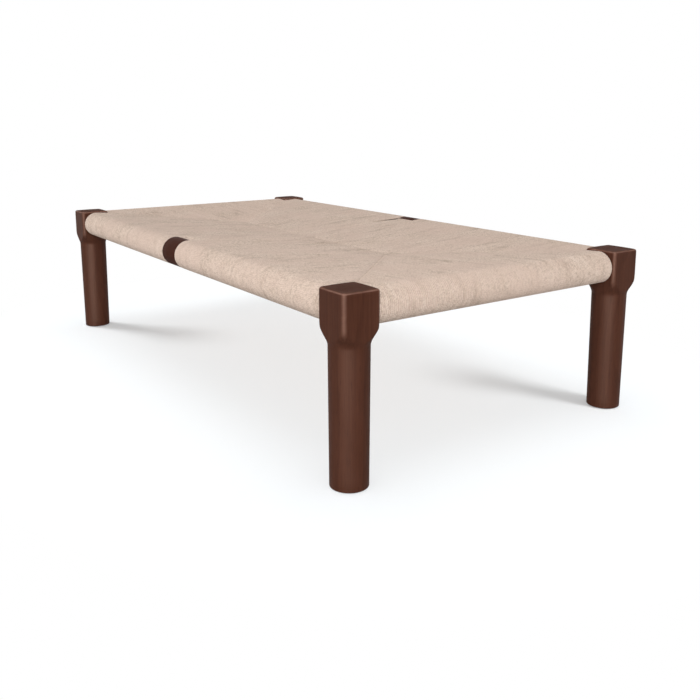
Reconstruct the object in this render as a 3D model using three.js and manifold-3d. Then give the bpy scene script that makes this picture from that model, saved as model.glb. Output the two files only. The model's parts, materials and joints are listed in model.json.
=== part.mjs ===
import * as THREE from 'three';
import { mergeVertices } from 'three/addons/utils/BufferGeometryUtils.js';
import Module from 'manifold-3d';

const wasm = await Module();
wasm.setup();

// Low table with a woven cord top, in millimetres.
// X runs along the table, Y across it and Z up from the floor, under the middle of the top.

// Overall size
const tableLength = 1524;
const tableWidth = 824;
const tableHeight = 378;

// Clearances
const seatGap = 0.3; // between two pieces that touch
const cutOverrun = 6; // how far a cutting shape runs past the piece that it cuts
const weldReach = 0.0003; // corners of a mesh closer than this are one point

// Leg: a square block that is turned down to a round leg
const blockSide = 82.5;
const blockCornerRadius = 8;
const blockRimRadius = 3.5; // rounding around the top of the block
const blockDome = 2; // height of the dome over the block's corners
const legRadius = 39.2; // at the foot of the shoulder, from where the leg tapers
const footRadius = 37.4;
const footRounding = 2;
const shoulderTop = 66; // down from the top of the block to the start of the ogee
const shoulderHeight = 41;

// Glide: a nylon disc on a nail, let into the foot of each leg
const glideRadius = 19;
const glideThickness = 4;
const glideRounding = 1;
const glideProud = 1.5; // how far the glide stands out of the leg
const nailRadius = 1.6;
const nailLength = 20;

// Cord, wrapped round the rails and woven across the top
const cordThickness = 4.5;
const wrapRadius = 36; // outside of the cord round a rail
const wrapBelowTop = 3.5; // from the top of the leg down to the top of the wrapped rail
const dishSlope = 0.065; // fall of the woven top for each millimetre inwards

// Rails: turned, with a round tenon at each end
const tenonRadius = 16;
const bandWidth = 76; // bare wood at the middle of a long rail
const bandInset = 0.4; // how far the bare wood lies below the cord beside it
const bandReach = 15; // how far the bare wood shows inwards of the rail's axis
const frontBandShift = 13; // how far the front rail's bare wood stands from the middle, towards -X

// Stretcher: a flat board between the long rails
const stretcherWidth = 60;
const stretcherEdge = 2; // rounding along its edges
const stretcherTenonWidth = 40;
const stretcherTenonThickness = 10;
const stretcherTenonLength = 22;

// Tack that holds a cord's end on the inner side of a rail
const tackHeadRadius = 3.5;
const tackHeadThickness = 1.2;
const tackShankRadius = 1.1;
const tackLength = 13;
const tackFromLeg = 55; // along the rail from each leg block

// Facets round each turned shape
const legFacets = 36;
const railFacets = 48;
const glideFacets = 24;
const smallFacets = 16;
const roundingSteps = 3;
const ogeeSteps = 6;
const domeSteps = 2;

// Places that several pieces share
const legX = (tableLength - blockSide) / 2;
const legY = (tableWidth - blockSide) / 2;
const blockHalf = blockSide / 2;
const blockReach = (blockHalf - blockCornerRadius) * Math.SQRT2 + blockCornerRadius; // out to a corner
const railZ = tableHeight - wrapBelowTop - wrapRadius;
const wrapInnerRadius = wrapRadius - cordThickness;
const railRadius = wrapInnerRadius - seatGap;
const bandRadius = wrapRadius - bandInset;
const bandHalf = bandWidth / 2;
const innerX = legX - blockHalf; // inner face of the leg blocks
const innerY = legY - blockHalf;
const seamX = legX - legY; // where the end triangles come to a point
const sheetTilt = Math.atan(dishSlope);

// Height of a straight stretch of cord above the rail's axis, at a distance inwards of it
const sheetHeight = (radius, inwards) => radius / Math.cos(sheetTilt) - dishSlope * inwards;

const stretcherThickness = 2 * (sheetHeight(wrapInnerRadius, legY) - seatGap);

// Finishes
const walnutStain = { color: 0x5c3d33, roughness: 0.45, metalness: 0 };
const paperCord = { color: 0xd0bca9, roughness: 0.9, metalness: 0 };
const bareBeech = { color: 0xb58f68, roughness: 0.7, metalness: 0 };
const darkNylon = { color: 0x2b2725, roughness: 0.55, metalness: 0 };
const tackSteel = { color: 0x8d8f92, roughness: 0.35, metalness: 1 };

// Closed solids

function toSolid(geometry) {
  const bare = geometry.clone();
  bare.deleteAttribute('normal');
  bare.deleteAttribute('uv');
  const merged = mergeVertices(bare, weldReach);
  return new wasm.Manifold(new wasm.Mesh({
    numProp: 3,
    vertProperties: new Float32Array(merged.attributes.position.array),
    triVerts: new Uint32Array(merged.index.array),
  }));
}

function toGeometry(solid) {
  const mesh = solid.getMesh();
  const geometry = new THREE.BufferGeometry();
  geometry.setAttribute('position', new THREE.BufferAttribute(mesh.vertProperties, 3));
  geometry.setIndex(new THREE.BufferAttribute(mesh.triVerts, 1));
  geometry.computeVertexNormals();
  return geometry;
}

// Points of an arc in the plane, from one angle to another
function arcPoints(centreX, centreY, radius, fromAngle, toAngle, steps) {
  const points = [];
  for (let step = 0; step <= steps; step += 1) {
    const angle = fromAngle + (toAngle - fromAngle) * step / steps;
    points.push(new THREE.Vector2(centreX + radius * Math.cos(angle), centreY + radius * Math.sin(angle)));
  }
  return points;
}

// A profile of (radius, height) points spun round Z
function turned(profile, facets) {
  const lathe = new THREE.LatheGeometry(profile, facets);
  lathe.rotateX(Math.PI / 2);
  return lathe;
}

// An outline in the plane, raised along Z from one height to another
function raised(points, low, high) {
  const prism = new THREE.ExtrudeGeometry(new THREE.Shape(points), { depth: high - low, bevelEnabled: false });
  prism.translate(0, 0, low);
  return prism;
}

function boxBetween(low, high) {
  const box = new THREE.BoxGeometry(high.x - low.x, high.y - low.y, high.z - low.z);
  box.translate((low.x + high.x) / 2, (low.y + high.y) / 2, (low.z + high.z) / 2);
  return box;
}

function rod(radius, length, facets) {
  const cylinder = new THREE.CylinderGeometry(radius, radius, length, facets);
  cylinder.rotateX(Math.PI / 2);
  return cylinder;
}

// Points of a rectangle with rounded corners, centred on the origin
function roundedRectangle(width, height, radius, steps) {
  const x = width / 2 - radius;
  const y = height / 2 - radius;
  const quarter = Math.PI / 2;
  return [[x, y], [-x, y], [-x, -y], [x, -y]].flatMap(([cornerX, cornerY], corner) =>
    arcPoints(cornerX, cornerY, radius, corner * quarter, (corner + 1) * quarter, steps));
}

// Leg

// Outline of the turned leg: foot, shaft, ogee shoulder, and the dome over the block
function legProfile() {
  const shoulderZ = tableHeight - shoulderTop;
  const ogeeLow = shoulderZ - shoulderHeight;
  const outer = blockReach + seatGap;
  const ogeeMiddle = (legRadius + outer) / 2;
  const ogeeHalfWidth = (outer - legRadius) / 2;
  const ogee = [];
  for (let step = 0; step <= ogeeSteps; step += 1) {
    const turn = Math.PI * (step / ogeeSteps - 1 / 2);
    const radius = ogeeMiddle + ogeeHalfWidth * Math.sin(turn);
    ogee.push(new THREE.Vector2(radius, ogeeLow + shoulderHeight * step / ogeeSteps));
  }
  const dome = [];
  for (let step = 0; step <= domeSteps; step += 1) {
    const share = 1 - step / domeSteps;
    dome.push(new THREE.Vector2(outer * share, tableHeight - blockDome * share * share));
  }
  return [
    new THREE.Vector2(0, glideProud),
    ...arcPoints(
      footRadius - footRounding, glideProud + footRounding, footRounding, -Math.PI / 2, 0, roundingSteps,
    ),
    ...ogee,
    ...dome,
  ];
}

// The squared timber that the leg is turned from, with its top rim rounded
function squaredTimber() {
  const side = blockSide - 2 * blockRimRadius;
  const corner = blockCornerRadius - blockRimRadius;
  const outline = new THREE.Shape(roundedRectangle(side, side, corner, roundingSteps));
  const timber = new THREE.ExtrudeGeometry(outline, {
    depth: tableHeight + cutOverrun - 2 * blockRimRadius,
    bevelThickness: blockRimRadius,
    bevelSize: blockRimRadius,
    bevelSegments: roundingSteps,
  });
  timber.translate(0, 0, blockRimRadius - cutOverrun);
  return timber;
}

// A blind round mortise from the leg's inner face, past its axis, for a mitred tenon
function tenonBore(angle) {
  const radius = tenonRadius + seatGap;
  const length = blockHalf + cutOverrun + tenonRadius + 2 * seatGap;
  const bore = rod(radius, length, smallFacets * 2);
  bore.rotateY(Math.PI / 2);
  bore.translate(tenonRadius + 2 * seatGap - length / 2, 0, railZ);
  bore.rotateZ(angle);
  return bore;
}

function legSolid() {
  const glideRecess = glideThickness - glideProud + seatGap;
  const recess = rod(glideRadius + seatGap, glideRecess + cutOverrun, glideFacets);
  recess.translate(0, 0, glideProud + (glideRecess - cutOverrun) / 2);
  const nailTop = glideThickness + nailLength + seatGap;
  const nailHole = rod(nailRadius + seatGap, nailTop, smallFacets);
  nailHole.translate(0, 0, nailTop / 2);
  return toSolid(squaredTimber())
    .intersect(toSolid(turned(legProfile(), legFacets)))
    .subtract(toSolid(tenonBore(0)))
    .subtract(toSolid(tenonBore(Math.PI / 2)))
    .subtract(toSolid(recess))
    .subtract(toSolid(nailHole));
}

// Glide

function glideSolid() {
  const rim = arcPoints(
    glideRadius - glideRounding, glideRounding, glideRounding, -Math.PI / 2, 0, roundingSteps,
  );
  return toSolid(turned([
    new THREE.Vector2(0, 0),
    ...rim,
    new THREE.Vector2(glideRadius, glideThickness),
    new THREE.Vector2(nailRadius, glideThickness),
    new THREE.Vector2(nailRadius, glideThickness + nailLength - 2 * nailRadius),
    new THREE.Vector2(0, glideThickness + nailLength),
  ], glideFacets));
}

// Rails

// Outline of the raised band of a long rail
function bandProfile(bandMiddle) {
  const from = bandMiddle - bandHalf;
  const to = bandMiddle + bandHalf;
  return [
    new THREE.Vector2(railRadius, from),
    new THREE.Vector2(bandRadius, from),
    new THREE.Vector2(bandRadius, to),
    new THREE.Vector2(railRadius, to),
  ];
}

// A rail along X, centred on its own axis, with the outline of its band where it has one.
// Each tenon runs past the leg's axis, ready for its mitre.
function railBlank(axisToLeg, band) {
  const shoulder = axisToLeg - blockHalf - seatGap;
  const tip = axisToLeg + tenonRadius;
  const upper = [
    new THREE.Vector2(railRadius, shoulder),
    new THREE.Vector2(tenonRadius, shoulder),
    new THREE.Vector2(tenonRadius, tip),
    new THREE.Vector2(0, tip),
  ];
  const lower = upper.map((point) => new THREE.Vector2(point.x, -point.y)).reverse();
  const rail = turned([...lower, ...band, ...upper], railFacets);
  rail.rotateY(Math.PI / 2);
  return toSolid(rail);
}

// Cuts both tenons of a rail along X to their mitres, with the table's middle on its +Y side
function mitred(rail, axisToLeg) {
  const long = axisToLeg - seatGap / Math.SQRT2; // where the mitre crosses the rail's axis
  const side = tenonRadius + cutOverrun;
  const keep = [
    new THREE.Vector2(-long - side, -side),
    new THREE.Vector2(long + side, -side),
    new THREE.Vector2(long - side, side),
    new THREE.Vector2(side - long, side),
  ];
  const wide = railRadius + cutOverrun;
  const middle = axisToLeg - blockHalf;
  const keepTenons = toSolid(raised(keep, -wide, wide));
  const keepMiddle = toSolid(boxBetween(
    new THREE.Vector3(-middle, -wide, -wide),
    new THREE.Vector3(middle, wide, wide),
  ));
  return rail.intersect(keepTenons.add(keepMiddle));
}

function tackPlace(axisToLeg) {
  return axisToLeg - blockHalf - tackFromLeg;
}

// The holes for the two tacks on the +Y side of a rail along X
function tackHoles(axisToLeg) {
  const depth = tackLength + seatGap;
  const holes = [-1, 1].map((end) => {
    const hole = rod(tackShankRadius + seatGap, depth + cutOverrun, smallFacets);
    hole.rotateX(Math.PI / 2);
    hole.translate(end * tackPlace(axisToLeg), railRadius + (cutOverrun - depth) / 2, 0);
    return toSolid(hole);
  });
  return holes[0].add(holes[1]);
}

function longRailSolid(bandMiddle) {
  const depth = stretcherTenonLength + seatGap;
  const halfWidth = stretcherTenonWidth / 2 + seatGap;
  const halfThickness = stretcherTenonThickness / 2 + seatGap;
  const mortise = toSolid(boxBetween(
    new THREE.Vector3(-halfWidth, bandRadius - depth, -halfThickness),
    new THREE.Vector3(halfWidth, bandRadius + cutOverrun, halfThickness),
  ));
  return mitred(railBlank(legX, bandProfile(bandMiddle)), legX)
    .subtract(mortise)
    .subtract(tackHoles(legX));
}

function endRailSolid() {
  return mitred(railBlank(legY, []), legY).subtract(tackHoles(legY));
}

// Stretcher along Y, its shoulders coped to the round bands

function stretcherSolid() {
  const board = new THREE.ExtrudeGeometry(
    new THREE.Shape(roundedRectangle(stretcherWidth, stretcherThickness, stretcherEdge, roundingSteps)),
    { depth: 2 * legY, bevelEnabled: false },
  );
  board.translate(0, 0, -legY);
  board.rotateX(Math.PI / 2);
  let solid = toSolid(board);
  for (const side of [-1, 1]) {
    const cope = rod(bandRadius + seatGap, stretcherWidth + 2 * cutOverrun, railFacets);
    cope.rotateY(Math.PI / 2);
    cope.translate(0, side * legY, 0);
    solid = solid.subtract(toSolid(cope));
  }
  const tenonEnd = legY - bandRadius + stretcherTenonLength;
  const tenons = toSolid(boxBetween(
    new THREE.Vector3(-stretcherTenonWidth / 2, -tenonEnd, -stretcherTenonThickness / 2),
    new THREE.Vector3(stretcherTenonWidth / 2, tenonEnd, stretcherTenonThickness / 2),
  ));
  return solid.add(tenons);
}

// Tack, its head in the XY plane and its shank down -Z

function tackSolid() {
  return toSolid(turned([
    new THREE.Vector2(0, -tackLength),
    new THREE.Vector2(tackShankRadius, 2 * tackShankRadius - tackLength),
    new THREE.Vector2(tackShankRadius, 0),
    new THREE.Vector2(tackHeadRadius, 0),
    new THREE.Vector2(tackHeadRadius, tackHeadThickness / 2),
    new THREE.Vector2(0, tackHeadThickness),
  ], smallFacets));
}

// Cord fields

// Section across a wrapped rail: the cord comes in over the top, round the rail and back below.
// Its own X is the distance inwards of the rail's axis and its own Y the height above it.
function wrapSection() {
  const reach = legY + cutOverrun;
  const arcSteps = railFacets / 2;
  const start = Math.PI / 2 - sheetTilt;
  const end = 3 * Math.PI / 2 + sheetTilt;
  const outside = arcPoints(0, 0, wrapRadius, start, end, arcSteps);
  const inside = arcPoints(0, 0, wrapInnerRadius, end, start, arcSteps);
  return [
    new THREE.Vector2(reach, sheetHeight(wrapRadius, reach)),
    ...outside,
    new THREE.Vector2(reach, -sheetHeight(wrapRadius, reach)),
    new THREE.Vector2(reach, -sheetHeight(wrapInnerRadius, reach)),
    ...inside,
    new THREE.Vector2(reach, sheetHeight(wrapInnerRadius, reach)),
  ];
}

// The section drawn along a rail on X whose axis lies at Y = 0, the table's middle on its +Y side
function wrapAlongX(from, to) {
  const shape = new THREE.Shape(wrapSection());
  const wrap = new THREE.ExtrudeGeometry(shape, { depth: to - from, bevelEnabled: false });
  wrap.translate(0, 0, from);
  wrap.applyMatrix4(new THREE.Matrix4().makeBasis(
    new THREE.Vector3(0, 1, 0),
    new THREE.Vector3(0, 0, 1),
    new THREE.Vector3(1, 0, 0),
  ));
  return toSolid(wrap);
}

const fieldHigh = wrapRadius + cutOverrun;

// A field is trimmed to half a gap short of each seam that it shares with its neighbours
const seamTrim = seatGap / 2;
const mitreTrim = seamTrim * Math.SQRT2; // the same, measured along the rail at a 45 degree seam

// Plan of an end field, seen with its rail along X: a strip round the rail and a triangle inwards
function endFieldPlan() {
  const side = innerY - seatGap;
  const startInwards = blockHalf; // the diagonal seams start level with the block's inner face
  return [
    new THREE.Vector2(-side, -fieldHigh),
    new THREE.Vector2(side, -fieldHigh),
    new THREE.Vector2(side, startInwards + seatGap - mitreTrim),
    new THREE.Vector2(0, startInwards + innerY - mitreTrim),
    new THREE.Vector2(-side, startInwards + seatGap - mitreTrim),
  ];
}

function endFieldSolid() {
  const side = innerY - seatGap;
  return wrapAlongX(-side, side).intersect(toSolid(raised(endFieldPlan(), -fieldHigh, fieldHigh)));
}

// Plan of the half of a long field on its rail's +X side: its inner edge is the middle seam
function longFieldPlan() {
  const side = innerX - seatGap;
  const inner = legY - seamTrim;
  return [
    new THREE.Vector2(seamTrim, -fieldHigh),
    new THREE.Vector2(side, -fieldHigh),
    new THREE.Vector2(side, blockHalf + seatGap - mitreTrim),
    new THREE.Vector2(seamX + seamTrim - mitreTrim, inner),
    new THREE.Vector2(seamTrim, inner),
  ];
}

function longFieldSolid(bandMiddle) {
  const aroundBand = rod(bandRadius + seatGap, bandWidth + 2 * seatGap, railFacets);
  aroundBand.rotateY(Math.PI / 2);
  aroundBand.translate(bandMiddle, 0, 0);
  const relief = boxBetween(
    new THREE.Vector3(bandMiddle - bandHalf - seatGap, -fieldHigh, -fieldHigh),
    new THREE.Vector3(bandMiddle + bandHalf + seatGap, bandReach, fieldHigh),
  );
  return wrapAlongX(seamTrim, innerX - seatGap)
    .intersect(toSolid(raised(longFieldPlan(), -fieldHigh, fieldHigh)))
    .subtract(toSolid(relief))
    .subtract(toSolid(aroundBand));
}

// Assembly

const table = new THREE.Group();

function addPiece(parent, name, solid, finish) {
  const mesh = new THREE.Mesh(toGeometry(solid), new THREE.MeshStandardMaterial(finish));
  mesh.name = name;
  parent.add(mesh);
  return mesh;
}

// Legs and glides, counted anticlockwise from the corner at +X +Y.
// An unturned leg has its mortises towards -X and -Y.
const leg = legSolid();
const glide = glideSolid();
const corners = [
  { name: 'right_back', x: legX, y: legY },
  { name: 'left_back', x: -legX, y: legY },
  { name: 'left_front', x: -legX, y: -legY },
  { name: 'right_front', x: legX, y: -legY },
];
corners.forEach((corner, turn) => {
  const group = new THREE.Group();
  group.position.set(corner.x, corner.y, 0);
  group.rotation.z = turn * Math.PI / 2;
  addPiece(group, `leg_${corner.name}`, leg, walnutStain);
  addPiece(group, `glide_${corner.name}`, glide, darkNylon);
  table.add(group);
});

// Each side holds its rail, its cord and its tacks, all drawn with the rail along X and the table's
// middle towards +Y, then turned round to face its own way. Its ends are named from +X to -X.
const endRail = endRailSolid();
const endField = endFieldSolid();
const tack = tackSolid();

function addSide(x, y, turn) {
  const group = new THREE.Group();
  group.position.set(x, y, railZ);
  group.rotation.z = turn * Math.PI / 2;
  table.add(group);
  return group;
}

function addTacks(group, side, axisToLeg) {
  side.ends.forEach((end, index) => {
    const mesh = addPiece(group, `tack_${side.name}_${end}`, tack, tackSteel);
    mesh.rotation.x = -Math.PI / 2;
    mesh.position.set((1 - 2 * index) * tackPlace(axisToLeg), railRadius + seatGap, 0);
  });
}

const longSides = [
  { name: 'front', y: -legY, turn: 0, ends: ['right', 'left'], band: -frontBandShift },
  { name: 'back', y: legY, turn: 2, ends: ['left', 'right'], band: 0 },
];
for (const side of longSides) {
  const group = addSide(0, side.y, side.turn);
  const upperHalf = longFieldSolid(side.band);
  const lowerHalf = longFieldSolid(-side.band).mirror([1, 0, 0]);
  addPiece(group, `rail_${side.name}`, longRailSolid(side.band), walnutStain);
  addPiece(group, `cord_${side.name}_${side.ends[0]}`, upperHalf, paperCord);
  addPiece(group, `cord_${side.name}_${side.ends[1]}`, lowerHalf, paperCord);
  addTacks(group, side, legX);
}

const endSides = [
  { name: 'right', x: legX, turn: 1, ends: ['back', 'front'] },
  { name: 'left', x: -legX, turn: 3, ends: ['front', 'back'] },
];
for (const side of endSides) {
  const group = addSide(side.x, 0, side.turn);
  addPiece(group, `rail_${side.name}`, endRail, walnutStain);
  addPiece(group, `cord_${side.name}`, endField, paperCord);
  addTacks(group, side, legY);
}

const middle = new THREE.Group();
middle.position.z = railZ;
addPiece(middle, 'stretcher', stretcherSolid(), bareBeech);
table.add(middle);

export default table;
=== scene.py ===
import bmesh
import bpy
import json
from math import atan, atan2, cos, exp, hypot, pi, radians, sin, sqrt
from mathutils import Matrix, Vector, noise
from random import Random

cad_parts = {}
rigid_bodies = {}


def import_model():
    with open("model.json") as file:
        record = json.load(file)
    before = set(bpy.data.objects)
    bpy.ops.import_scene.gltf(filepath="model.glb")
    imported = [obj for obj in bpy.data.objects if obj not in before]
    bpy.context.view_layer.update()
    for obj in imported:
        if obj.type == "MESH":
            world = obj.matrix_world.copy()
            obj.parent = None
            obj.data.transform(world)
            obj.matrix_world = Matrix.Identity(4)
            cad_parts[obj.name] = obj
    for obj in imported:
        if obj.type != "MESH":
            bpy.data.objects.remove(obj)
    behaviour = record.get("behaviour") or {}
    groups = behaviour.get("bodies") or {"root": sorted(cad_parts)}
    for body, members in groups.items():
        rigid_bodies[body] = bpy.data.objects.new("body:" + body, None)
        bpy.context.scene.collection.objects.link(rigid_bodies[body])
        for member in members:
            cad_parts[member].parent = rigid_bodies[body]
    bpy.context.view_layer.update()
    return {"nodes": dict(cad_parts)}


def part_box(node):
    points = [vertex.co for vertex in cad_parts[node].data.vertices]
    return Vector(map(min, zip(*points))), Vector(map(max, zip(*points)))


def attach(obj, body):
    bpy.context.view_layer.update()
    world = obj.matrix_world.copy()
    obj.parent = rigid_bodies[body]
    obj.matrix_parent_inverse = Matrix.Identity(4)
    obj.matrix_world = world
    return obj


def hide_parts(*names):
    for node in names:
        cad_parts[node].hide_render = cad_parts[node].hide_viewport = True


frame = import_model()
nodes = frame["nodes"]
print("frame loaded:", len(nodes), "parts")

mm = 0.001

# camera, at the photograph's angle
cameraView = {
    "place": (1.8606, -1.1761, 0.6782),
    "pitch": 0.1777,      # down from level
    "yaw": 0.95462,       # left of +Y
    "lens": 41.20,
    "shiftY": -0.1291,
}
cameraData = bpy.data.cameras.new("camera")
cameraData.lens = cameraView["lens"]
cameraData.sensor_width = 36
cameraData.shift_y = cameraView["shiftY"]
cameraData.clip_end = 60
camera = bpy.data.objects.new("camera", cameraData)
camera.location = cameraView["place"]
camera.rotation_euler = (pi / 2 - cameraView["pitch"], 0, cameraView["yaw"])
bpy.context.scene.collection.objects.link(camera)
bpy.context.scene.camera = camera
print("camera placed")


# materials

class Board:
    # a node tree with short calls to add and join its nodes

    def __init__(self, tree):
        self.tree = tree
        self.column = 0

    def give(self, node, name, value):
        # a socket is joined to the node's input, and a plain value is set on it
        if isinstance(value, bpy.types.NodeSocket):
            self.tree.links.new(value, node.inputs[name])
        else:
            node.inputs[name].default_value = value

    def add(self, kind, inputs=None, **settings):
        node = self.tree.nodes.new(kind)
        node.location = (self.column * 190, 0)
        self.column += 1
        for name, value in settings.items():
            setattr(node, name, value)
        for name, value in (inputs or {}).items():
            self.give(node, name, value)
        return node

    def math(self, operation, first, second=0.5):
        return self.add("ShaderNodeMath", {0: first, 1: second}, operation=operation).outputs[0]

    def times(self, first, second):
        return self.math("MULTIPLY", first, second)

    def mix(self, factor, first, second):
        return self.add("ShaderNodeMix", {0: factor, 6: first, 7: second}, data_type="RGBA").outputs[2]

    def spread(self, value, low, high, newLow=0.0, newHigh=1.0):
        return self.add("ShaderNodeMapRange", {
            "Value": value, "From Min": low, "From Max": high, "To Min": newLow, "To Max": newHigh,
        }).outputs["Result"]

    def stretched(self, vector, scale):
        return self.add("ShaderNodeMapping", {"Vector": vector, "Scale": scale}).outputs[0]

    def length(self, vector):
        return self.add("ShaderNodeVectorMath", {0: vector}, operation="LENGTH").outputs["Value"]

    def blotches(self, vector, detail, roughness=0.5, scale=1.0):
        return self.add("ShaderNodeTexNoise", {
            "Vector": vector, "Scale": scale, "Detail": detail, "Roughness": roughness,
        }).outputs[0]

    def vector(self, x, y, z):
        return self.add("ShaderNodeCombineXYZ", {0: x, 1: y, 2: z}).outputs[0]


def colour(red, green, blue):
    return (red, green, blue, 1)


def newGroup(name, inputs, outputs):
    tree = bpy.data.node_groups.new(name, "ShaderNodeTree")
    for socketName, kind, value in inputs:
        socket = tree.interface.new_socket(socketName, in_out="INPUT", socket_type=kind)
        if value is not None:
            socket.default_value = value
    for socketName, kind in outputs:
        tree.interface.new_socket(socketName, in_out="OUTPUT", socket_type=kind)
    board = Board(tree)
    return board, board.add("NodeGroupInput").outputs, board.add("NodeGroupOutput")


# each pattern's scale across the grain twice and then along it, and the limits of its mask
timberPattern = {
    "driftRun": (7, 7, 1.6),       # slow wander of the rings
    "driftReach": 0.05,
    "ringRun": (1, 1, 0.09),
    "ringSharpness": 2.2,
    "ringFall": (1.0, 0.93),       # a ring's dark side ends in a short fall
    "fibreRun": (260, 260, 6),
    "poreRun": (1, 1, 0.045),
    "poreLimits": (0.62, 0.72),
    "patchRun": (14, 14, 3.5),
}


# growth rings, fibres and pores of a turned or sawn timber, its grain along Z of the vector
def makeTimberGroup():
    pattern = timberPattern
    board, given, out = newGroup("timberGrain", [
        ("Vector", "NodeSocketVector", None),
        ("Ring Scale", "NodeSocketFloat", 30.0),
        ("Waviness", "NodeSocketFloat", 1.0),
        ("Pore Scale", "NodeSocketFloat", 900.0),
    ], [
        ("Rings", "NodeSocketFloat"),
        ("Fibres", "NodeSocketFloat"),
        ("Pores", "NodeSocketFloat"),
        ("Patches", "NodeSocketFloat"),
    ])
    vector = given["Vector"]
    drift = board.blotches(board.stretched(vector, pattern["driftRun"]), 3.0)
    wander = board.times(board.math("SUBTRACT", drift, 0.5), given["Waviness"])
    fromPith = board.length(board.stretched(vector, pattern["ringRun"]))
    fromPith = board.math("ADD", fromPith, board.times(wander, pattern["driftReach"]))
    saw = board.math("FRACT", board.times(fromPith, given["Ring Scale"]))
    rings = board.math("POWER", saw, pattern["ringSharpness"])
    fibres = board.blotches(board.stretched(vector, pattern["fibreRun"]), 4.0, 0.6)
    pores = board.blotches(board.stretched(vector, pattern["poreRun"]), 1.0, 0.4, given["Pore Scale"])
    board.give(out, "Rings", board.times(rings, board.spread(saw, *pattern["ringFall"])))
    board.give(out, "Fibres", fibres)
    board.give(out, "Pores", board.spread(pores, *pattern["poreLimits"]))
    board.give(out, "Patches", board.blotches(board.stretched(vector, pattern["patchRun"]), 2.0))
    return board.tree


# dust and handling marks: a soft uneven mask, shared by wood, nylon and steel
def makeMarksGroup():
    board, given, out = newGroup("handlingMarks", [
        ("Vector", "NodeSocketVector", None),
        ("Scale", "NodeSocketFloat", 25.0),
    ], [("Mask", "NodeSocketFloat")])
    wide = board.blotches(given["Vector"], 5.0, 0.62, given["Scale"])
    board.give(out, "Mask", board.spread(wide, 0.38, 0.66))
    return board.tree


timberGroup = makeTimberGroup()
marksGroup = makeMarksGroup()


def newMaterial(name):
    material = bpy.data.materials.new(name)
    material.use_nodes = True
    material.node_tree.nodes.clear()
    return material, Board(material.node_tree)


def finishMaterial(board, shaderInputs):
    shader = board.add("ShaderNodeBsdfPrincipled", shaderInputs)
    board.add("ShaderNodeOutputMaterial", {0: shader.outputs[0]})


def rubAndHighlightLeg(board, look, place, marks, base, rough):
    # the sawn top of a leg is matt, and its rim and upright corners are painted a little paler: a painted
    # highlight, along with a little rubbing
    sides = board.add("ShaderNodeSeparateXYZ", {0: place}).outputs
    topGrain = board.spread(sides[2], *look["endGrain"])
    rough = board.math("ADD", rough, board.times(topGrain, look["endRoughness"]))
    base = board.mix(board.times(topGrain, look["endSoak"]), base, look["dark"])
    uneven = board.spread(marks, 0.0, 1.0, *look["rubbing"])
    # painted highlight along the top rim, uneven like rubbing
    fromRim = board.math("ABSOLUTE", board.math("SUBTRACT", sides[2], look["rimLevel"]))
    rim = board.times(board.spread(fromRim, look["rimWidth"], 0.0), uneven)
    base = board.mix(board.times(rim, look["rimHighlightAndWear"]), base, look["paleHighlightAndWear"])
    # painted highlight down the upright corners, uneven like rubbing
    fromMiddle = []
    for axis in (0, 1):
        beyond = board.math("SUBTRACT", board.math("ABSOLUTE", sides[axis]), look["legMiddle"][axis])
        fromMiddle.append(board.math("ABSOLUTE", beyond))
    towardsCorner = board.math("MINIMUM", fromMiddle[0], fromMiddle[1])
    corner = board.times(board.spread(towardsCorner, *look["cornerBand"]), uneven)
    base = board.mix(board.times(corner, look["cornerHighlightAndWear"]), base, look["paleHighlightAndWear"])
    return base, rough


def timberMaterial(name, look):
    material, board = newMaterial(name)
    place = board.add("ShaderNodeTexCoord").outputs["Object"]
    turned = board.add("ShaderNodeMapping", {
        "Vector": place, "Location": look["pith"], "Rotation": look["turn"],
    }).outputs[0]
    grain = board.add("ShaderNodeGroup", {
        "Vector": turned, "Ring Scale": look["ringScale"], "Waviness": look["waviness"],
    }, node_tree=timberGroup).outputs
    marks = board.add("ShaderNodeGroup", {"Vector": place}, node_tree=marksGroup).outputs["Mask"]
    base = board.mix(board.spread(grain["Patches"], *look["patchLimits"]), look["light"], look["warm"])
    base = board.mix(board.times(grain["Rings"], look["ringDepth"]), base, look["dark"])
    fibred = board.times(board.spread(grain["Fibres"], *look["fibreLimits"]), look["fibreDepth"])
    base = board.mix(fibred, base, look["dark"])
    base = board.mix(board.times(grain["Pores"], look["poreDepth"]), base, look["pore"])
    rough = board.math("ADD", look["roughness"], board.times(marks, look["unevenGloss"]))
    if "endGrain" in look:
        base, rough = rubAndHighlightLeg(board, look, place, marks, base, rough)
    height = board.times(board.math("SUBTRACT", grain["Fibres"], grain["Pores"]), 0.5)
    bump = board.add("ShaderNodeBump", {
        "Strength": look["bump"], "Distance": look["bumpHeight"], "Height": height,
    })
    finishMaterial(board, {
        "Base Color": base, "Roughness": rough, "Normal": bump.outputs[0],
        "Specular IOR Level": look["specular"], "Specular Tint": look["glint"],
    })
    return material


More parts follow.
